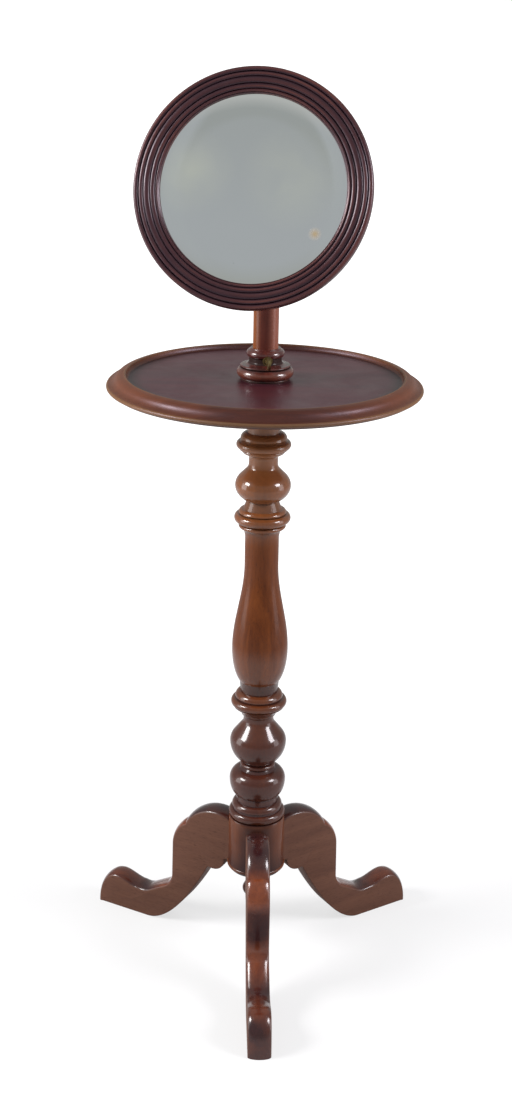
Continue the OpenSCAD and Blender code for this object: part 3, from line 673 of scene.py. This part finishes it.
table = turned("dished_table", (
    [(POST_HOLE_R, DISH_Z - SEAT_DEPTH), (COLLAR_SEAT_R, DISH_Z - SEAT_DEPTH),
     (COLLAR_SEAT_R, DISH_Z), (60, DISH_Z), (110, DISH_Z), (150, DISH_Z), (CREST_R - 5.5, DISH_Z)]
    + bend((CREST_R - 5.5, DISH_Z), (CREST_R - 2.4, DISH_Z + 0.4),
           (CREST_R - 1.8, TABLE_H - 0.9), 12)
    + arc((CREST_R, TABLE_H - 1.4), 1.6, 1.4, 150, 75, 8)
    + arc((CREST_R + 1, TABLE_H - 11), 12, 10.6, 82, 26, 16)
    + bend((CREST_R + 11.8, TABLE_H - 6.4), (TABLE_R - 8, EDGE_Z + 3.4),
           (TABLE_R - 2.8, EDGE_Z + 2.6), 14)
    + arc((TABLE_R - EDGE_BEAD, EDGE_Z), EDGE_BEAD, EDGE_BEAD, 80, -90, 14)
    + [(TABLE_R - 3.6, EDGE_Z - 2.6), (TABLE_R - 6, TABLE_UNDER), (120, TABLE_UNDER),
       (POST_HOLE_R, TABLE_UNDER)]),
    256, closed=True)


def flat_place(flow):
    """The place seen along the piece's own axis."""
    sockets = {0: object_place(flow), 1: (1.0, 1.0, 0.0)}
    return flow.node("ShaderNodeVectorMath", {"operation": "MULTIPLY"}, sockets)


def from_axis(flow):
    """Distance from the piece's own axis, in millimetres."""
    place = flat_place(flow)
    return flow.node("ShaderNodeVectorMath", {"operation": "LENGTH"}, {0: place}, "Value") * PER_MM


# The dish is purplish and even and the rim warmer; the rim's two ends are painted paler as sheen,
# and its crests paler as a painted highlight.
table_wood, m = new_finish("table_mahogany")
rim = from_axis(m).between(170.5, 173.5)
floor_wood, pore_height = figured(m, 0, colour(74, 32, 38), colour(55, 25, 32), 1.7)
rim_wood, _ = figured(m, 0, colour(78, 36, 18), colour(44, 18, 9), 1.7)
painted_sheen_ends = m.math("ABSOLUTE", along_axis(m, "X")).between(50, 170)
rim_wood = m.mix(painted_sheen_ends * 0.3, rim_wood, colour(142, 78, 34))
wood = m.mix(rim, floor_wood, rim_wood)
stands = mesh_measure(m)
# Painted shade in the quirks, and a painted highlight on the rim's crests and bead.
wood = m.mix(stands.between(-0.15, -0.8) * 0.8, wood, colour(34, 13, 10))
wood = m.mix(stands.between(0.35, 0.95) * 0.35 * rim, wood, colour(132, 104, 66))
wiped = m.noise(object_place(m), 14.0, 4.0, 0.6, 0.6)
rough = 0.28 + wiped.between(0.35, 0.7) * 0.12 + rim * 0.08
close_finish(m, {"Base Color": wood, "Roughness": rough, "Normal": raised(m, pore_height),
                 "Coat Weight": 0.05, "Coat Roughness": 0.2, "Specular IOR Level": 0.4,
                 "Specular Tint": (0.98, 0.82, 1.0, 1.0)})
table.data.materials.append(table_wood)
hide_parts("tabletop")
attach(table, "stand")


# ---- Collar ----
# A turned mahogany collar with two rolls round a waist, let into the table and screwed from below.
# The post slides through it, and a brass bush in its waist takes the clamp's thumbscrew.

WAIST_TOP, COLLAR_QUIRK = 862.0, 849.6

collar_wood, m = new_finish("collar_mahogany")
wood, pore_height = figured(m, 2, colour(94, 42, 34), colour(56, 22, 22), 6.1)
radius, level = from_axis(m), along_axis(m, "Z")
# Painted shade: the waist, the quirk over the lower roll and the seam at the table are darkened.
waist = radius.between(23.2, 21.5) * level.between(WAIST_TOP + 2.5, WAIST_TOP)
quirk = m.math("ABSOLUTE", level - COLLAR_QUIRK).between(1.6, 0.6)
seam = level.between(DISH_Z + 2.5, DISH_Z + 1.0)
grime_and_shade = m.math("MAXIMUM", m.math("MAXIMUM", quirk, seam), waist)
wood = m.mix(grime_and_shade * 0.85, wood, colour(30, 18, 16))
# Painted highlight: the lower roll is paler at its widest.
wood = m.mix(radius.between(33.5, 36.0) * 0.25, wood, colour(132, 74, 46))
close_finish(m, {"Base Color": wood, "Roughness": 0.34 + grime_and_shade * 0.3,
                 "Normal": raised(m, pore_height), "Coat Weight": 1.0 - grime_and_shade * 0.9,
                 "Coat Roughness": 0.13, "Specular IOR Level": 0.15})
finish_part("collar", collar_wood)
finish_part("collar_screws", iron)

brass, m = new_finish("aged_brass")
tarnish = m.noise(object_place(m), 210.0, 5.0, 0.65)
metal = m.mix(tarnish.between(0.38, 0.68), colour(172, 152, 104), colour(92, 84, 58))
scratches = m.noise(object_place(m), 900.0, 2.0)
close_finish(m, {"Base Color": metal, "Metallic": 1.0, "Normal": raised(m, scratches, 0.15, 0.1),
                 "Roughness": 0.26 + tarnish.between(0.3, 0.7) * 0.24})
for name in ("clamp_insert", "clamp_pad", "thumbscrew"):
    finish_part(name, brass)


# ---- Post ----
# A plain turned rod that slides in the collar and carries the mirror.
# A brass ferrule caps it, and a grub screw through that holds the swivel's spigot.

# The post's left side is painted yellow-orange and its right side paler, as painted highlights.
post_wood, m = new_finish("post_mahogany")
wood, pore_height = figured(m, 2, colour(92, 40, 28), colour(64, 25, 20), 9.2)
wear_and_light = m.noise(object_place(m), 30.0, 3.0, 0.6)
sideways = along_axis(m, "X")
painted_left_highlight = sideways.between(-6.5, -15.0) * (0.4 + wear_and_light * 0.5)
wood = m.mix(painted_left_highlight, wood, colour(144, 78, 18))
wood = m.mix(sideways.between(1, 10) * 0.85, wood, colour(140, 84, 66))
rough = 0.34 + wear_and_light.between(0.35, 0.7) * 0.12
close_finish(m, {"Base Color": wood, "Roughness": rough, "Normal": raised(m, pore_height),
                 "Coat Weight": 0.4, "Coat Roughness": 0.25, "Specular IOR Level": 0.12})
finish_part("mirror_post", post_wood)
finish_part("post_ferrule", brass)
finish_part("swivel_grub_screw", iron)


# ---- Swivel and tilting joint ----
# Cast and filed brass: a head that turns on the post, and a bracket on the mirror's back.
# Their cheeks lap with a leather washer between them, on a bolt that a wing nut tightens.

for name in ("swivel_head", "nut_washer", "mirror_bracket", "bracket_screws",
             "pivot_bolt", "wing_nut"):
    finish_part(name, brass)

hide, m = new_finish("dry_leather")
creases = m.noise(object_place(m), 700.0, 4.0, 0.7)
tan = m.mix(creases, colour(66, 44, 30), colour(96, 66, 44))
close_finish(m, {"Base Color": tan, "Roughness": 0.8, "Normal": raised(m, creases, 0.6, 0.3)})
finish_part("friction_washer", hide)


# ---- Mirror frame ----
# A turned ring of dark mahogany with a bead round its edge and four fine reeds inside it.
# It is rebated at the back for the glass and its board.

YAW_TURN, LEAN_BACK = 10.0, 18.0
TILT_Z, LAP, REACH = 1054.0, 10.0, 54.0
FRAME_R, SIGHT_R, FRAME_FRONT, WIDEST = 142.0, 111.0, 20.8, 10.0
GLASS_R, BOARD_R, SEAT = 115.0, 124.0, 14.5
BOARD_FRONT, BOARD_GAP, GLASS_GAP = 8.0, 0.2, 0.3
OUTER_BEAD, BEAD_RISE, REED_RISE = 6.5, 3.4, 2.4
REEDS = ((5.5, 21.2), (7.7, 21.0), (6.2, 19.8), (4.0, 18.4))

mirror_place = (
    Matrix.Translation((0, 0, TILT_Z * MM))
    @ Matrix.Rotation(math.radians(-YAW_TURN), 4, "Z")
    @ Matrix.Rotation(math.radians(-LEAN_BACK), 4, "X")
    @ Matrix.Translation((-LAP * MM, -REACH * MM, 0))
    @ Matrix.Rotation(math.radians(90), 4, "X")
)

reed_lines = []
edge_r = FRAME_R - OUTER_BEAD
for reed_w, reed_top in REEDS:
    reed_middle = (edge_r - reed_w / 2, reed_top - REED_RISE)
    reed_lines += arc(reed_middle, reed_w / 2, REED_RISE, 12, 168, 14)
    edge_r -= reed_w
bead_middle = (FRAME_R - OUTER_BEAD / 2, FRAME_FRONT - BEAD_RISE)
frame_ring = turned("turned_frame", (
    [(BOARD_R + BOARD_GAP, BOARD_FRONT), (BOARD_R + BOARD_GAP, 0), (FRAME_R - 6, 0)]
    + arc((FRAME_R - 8, WIDEST), 8, 9.6, -70, 0, 14)
    + arc(bead_middle, OUTER_BEAD / 2, BEAD_RISE, 0, 168, 18)
    + reed_lines
    + [(SIGHT_R + 0.9, SEAT + 2.7), (SIGHT_R, SEAT + 1.9), (SIGHT_R, SEAT),
       (GLASS_R + GLASS_GAP, SEAT), (GLASS_R + GLASS_GAP, BOARD_FRONT)])[::-1], 224, closed=True)
frame_ring.matrix_world = mirror_place

frame_wood, m = new_finish("dark_mahogany")
wood, pore_height = figured(m, 0, colour(58, 30, 33), colour(40, 20, 27), 4.4)
stands = mesh_measure(m)
# Painted shade: the grooves between the reeds are darkened; the reed tops are warmer brown.
wood = m.mix(stands.between(0.5, -0.4) * 0.72, wood, colour(24, 12, 22))
warm = m.noise(object_place(m), 7.0, 2.0, 0.5).between(0.45, 0.6)
wood = m.mix(stands.between(0.5, 1.0) * (0.1 + warm * 0.35), wood, colour(108, 60, 48))
smears = m.noise(object_place(m), 45.0, 3.0, 0.6)
rough = 0.28 + smears.between(0.35, 0.7) * 0.14
close_finish(m, {"Base Color": wood, "Roughness": rough, "Normal": raised(m, pore_height),
                 "Coat Weight": 0.25, "Coat Roughness": 0.2, "Specular IOR Level": 0.35,
                 "Specular Tint": (1.0, 0.78, 0.92, 1.0)})
frame_ring.data.materials.append(frame_wood)
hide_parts("mirror_frame")
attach(frame_ring, "mirror")


# ---- Glass ----
# Old plate glass with a ground bevel, silvered behind, the silver clouded and spotted with age.
# Felt packing presses it into the frame's rebate.

GLASS_T, BEVEL_W, BEVEL_DEPTH, SEAT_GAP = 4.0, 15.0, 2.0, 0.05
GLASS_FRONT = SEAT + BEVEL_DEPTH * (SIGHT_R - GLASS_R + BEVEL_W) / BEVEL_W - SEAT_GAP

plate = turned("bevelled_glass", (
    [(0, GLASS_FRONT), (40, GLASS_FRONT), (80, GLASS_FRONT), (GLASS_R - BEVEL_W, GLASS_FRONT),
     (GLASS_R, GLASS_FRONT - BEVEL_DEPTH), (GLASS_R, GLASS_FRONT - GLASS_T),
     (0, GLASS_FRONT - GLASS_T)]), 192)
plate.matrix_world = mirror_place

silver, m = new_finish("aged_silvering")
place = object_place(m)
face = flat_place(m)


def blot(x, y, inner, outer):
    """A soft round stain on the silvering: its centre and radii in millimetres."""
    sockets = {0: face, 1: (x * MM, y * MM, 0.0)}
    apart = m.node("ShaderNodeVectorMath", {"operation": "DISTANCE"}, sockets, "Value") * PER_MM
    return 1.0 - apart.between(inner, outer)


clouds = m.noise(place, 24.0, 3.0, 0.5, 0.4).between(0.34, 0.62)
patches = m.math("MAXIMUM", blot(-72, 16, 4, 52), blot(46, 14, 10, 64) * 0.6)
stained = patches * (0.35 + clouds * 0.65)
tone = m.mix(stained * 0.9, colour(243, 245, 246), colour(248, 250, 238))
bare = blot(76.5, -50, 1.5, 8.5)
tone = m.mix(bare, tone, colour(200, 180, 146))
spots = m.noise(place, 95.0, 3.0, 0.6)
edge = from_axis(m).between(98, 112.5)
foxing = (spots + edge * 0.14).between(0.79, 0.85)
tone = m.mix(foxing * 0.5, tone, colour(150, 142, 126))
haze = m.noise(place, 20.0, 4.0, 0.6)
close_finish(m, {"Base Color": tone, "Metallic": 1.0 - bare * 0.5 - stained * 0.07,
                 "Roughness": 0.03 + haze.between(0.45, 0.7) * 0.05})
plate.data.materials.append(silver)
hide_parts("mirror_glass")
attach(plate, "mirror")

felt, m = new_finish("wool_felt")
fluff = m.noise(object_place(m), 1200.0, 4.0, 0.8)
wool = m.mix(fluff, colour(104, 98, 86), colour(140, 132, 116))
close_finish(m, {"Base Color": wool, "Roughness": 0.95, "Normal": raised(m, fluff, 0.6, 0.4)})
finish_part("mirror_packing", felt)


# ---- Backboard ----
# A round pine board, planed and left plain, held in the frame's back by eight brass screws.
# The bracket's plate is screwed to its middle.

pine, m = new_finish("plain_pine")
place = object_place(m)
sockets = {0: place, 1: (1.0, 0.06, 0.06)}
cut = m.node("ShaderNodeVectorMath", {"operation": "MULTIPLY"}, sockets)
growth = m.noise(cut, 60.0, 3.0, 0.5, 0.8)
lines = m.math("FRACT", growth * 9.0).between(0.55, 1.0)
board = m.mix(lines * 0.7, colour(176, 138, 94), colour(128, 88, 52))
grime_and_shade = m.noise(place, 16.0, 4.0, 0.6).between(0.4, 0.75)
board = m.mix(grime_and_shade * 0.5, board, colour(98, 74, 52))
close_finish(m, {"Base Color": board, "Roughness": 0.62 + grime_and_shade * 0.2,
                 "Normal": raised(m, lines, 0.3, 0.3)})
finish_part("backboard", pine)
finish_part("backboard_screws", brass)
